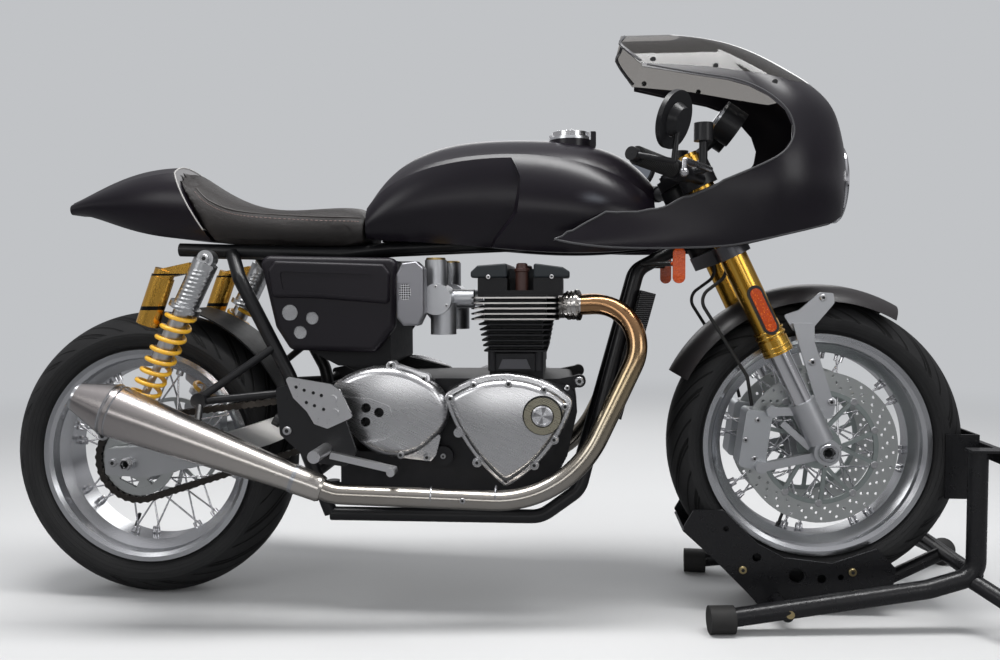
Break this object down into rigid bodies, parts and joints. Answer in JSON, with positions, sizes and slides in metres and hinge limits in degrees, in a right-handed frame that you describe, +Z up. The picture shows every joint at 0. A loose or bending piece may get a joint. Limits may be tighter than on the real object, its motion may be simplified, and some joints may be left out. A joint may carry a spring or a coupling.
{
  "type": "cafe racer motorcycle in a front-wheel chock",
  "caption": "Cafe racer motorcycle with a half fairing, clip-on bars, gold fork, wire wheels and twin silencers, standing in a black front-wheel chock.",
  "frame": {"origin": "on the floor, under the middle of the whole model's length and width", "axes": "+X towards the front wheel, +Y towards the bike's left side, +Z up"},
  "size_m": [2.1549, 0.7974, 1.1882],
  "materials": {
    "tyre_rubber": "matt black with a moulded side",
    "polished_rim": "polished",
    "bright_spoke": "bright",
    "silver_hub": "satin",
    "disc_steel": "ground steel",
    "carrier_grey": "grey green anodised",
    "gold_anodised": "gold anodised",
    "fork_chrome": "hard chrome",
    "cast_silver": "satin cast",
    "caliper_silver": "satin silver",
    "bright_alloy": "polished",
    "black_metal": "satin black",
    "engine_black": "wrinkle black",
    "grip_rubber": "ribbed",
    "hose_black": "braided sleeve",
    "chock_black": "hammered black",
    "spring_yellow": "gloss yellow",
    "chain_black": "oiled black",
    "intake_grey": "satin grey",
    "plastic_black": "grained",
    "satin_black": "satin",
    "steel_brushed": "brushed, straw to bronze near the ports",
    "body_paint": "deep gloss near black",
    "seat_cover": "stitched dark brown black",
    "smoke_screen": "dark smoke",
    "lamp_glass": "clear",
    "amber_lens": "clear amber"
  },
  "bodies": {
    "front_end_and_chock": {"fork_outers": "gold_anodised", "fork_stanchions": "fork_chrome", "fork_bottoms": "cast_silver", "front_calipers": "caliper_silver", "front_fender": "satin_black", "front_axle": "cast_silver", "yokes": "bright_alloy", "clip_ons": "black_metal", "grips": "grip_rubber", "levers": "black_metal", "mirrors": "black_metal", "brake_hoses": "hose_black", "instruments": "black_metal", "chock_rails": "chock_black", "chock_feet": "grip_rubber", "chock_cradle": "chock_black", "chock_stop": "chock_black"},
    "chassis": {"air_box": "plastic_black", "chain": "chain_black", "crankcase": "engine_black", "cylinder_head": "engine_black", "cylinders": "engine_black", "engine_covers": "bright_alloy", "fairing": "body_paint", "foot_controls": "bright_alloy", "frame": "black_metal", "header_pipes": "steel_brushed", "headlamp": "lamp_glass", "intake_trims": "intake_grey", "lamps": "amber_lens", "radiator": "black_metal", "rear_axle": "cast_silver", "rear_caliper": "caliper_silver", "rear_guard": "plastic_black", "screen": "smoke_screen", "seat_pad": "seat_cover", "shock_bodies": "cast_silver", "shock_reservoirs": "gold_anodised", "shock_springs": "spring_yellow", "side_panels": "satin_black", "silencers": "steel_brushed", "swingarm": "bright_alloy", "tail_cowl": "body_paint", "tank": "body_paint", "throttle_bodies": "cast_silver"},
    "front_wheel": {"front_tyre": "tyre_rubber", "front_rim": "polished_rim", "front_hub": "silver_hub", "front_spokes": "bright_spoke", "front_discs": "disc_steel", "front_disc_carriers": "carrier_grey"},
    "rear_wheel": {"rear_tyre": "tyre_rubber", "rear_rim": "polished_rim", "rear_hub": "silver_hub", "rear_spokes": "bright_spoke", "rear_sprocket": "disc_steel", "rear_disc": "disc_steel"},
    "side_stand": {"side_stand": "black_metal"},
    "filler_lid": {"filler_lid": "bright_alloy"}
  },
  "joints": [
    {"name": "steering", "type": "hinge", "parent": "front_end_and_chock", "child": "chassis", "pos_m": [0.39401, 0, 0.80986], "axis": [-0.4258, 0, 0.9048], "range_deg": [-27, 27]},
    {"name": "front_wheel_spin", "type": "hinge", "parent": "front_end_and_chock", "child": "front_wheel", "pos_m": [0.64773, 0, 0.3435], "axis": [0, 1, 0], "continuous": true},
    {"name": "rear_wheel_spin", "type": "hinge", "parent": "chassis", "child": "rear_wheel", "pos_m": [-0.76727, 0, 0.31], "axis": [0, 1, 0], "continuous": true},
    {"name": "side_stand_fold", "type": "hinge", "parent": "chassis", "child": "side_stand", "pos_m": [-0.24727, 0.157, 0.196], "axis": [0, -0.9669, -0.255], "range_deg": [0, 100]},
    {"name": "filler_lid_hinge", "type": "hinge", "parent": "chassis", "child": "filler_lid", "pos_m": [0.19173, 0, 0.9903], "axis": [0, 1, 0], "range_deg": [0, 95]}
  ]
}
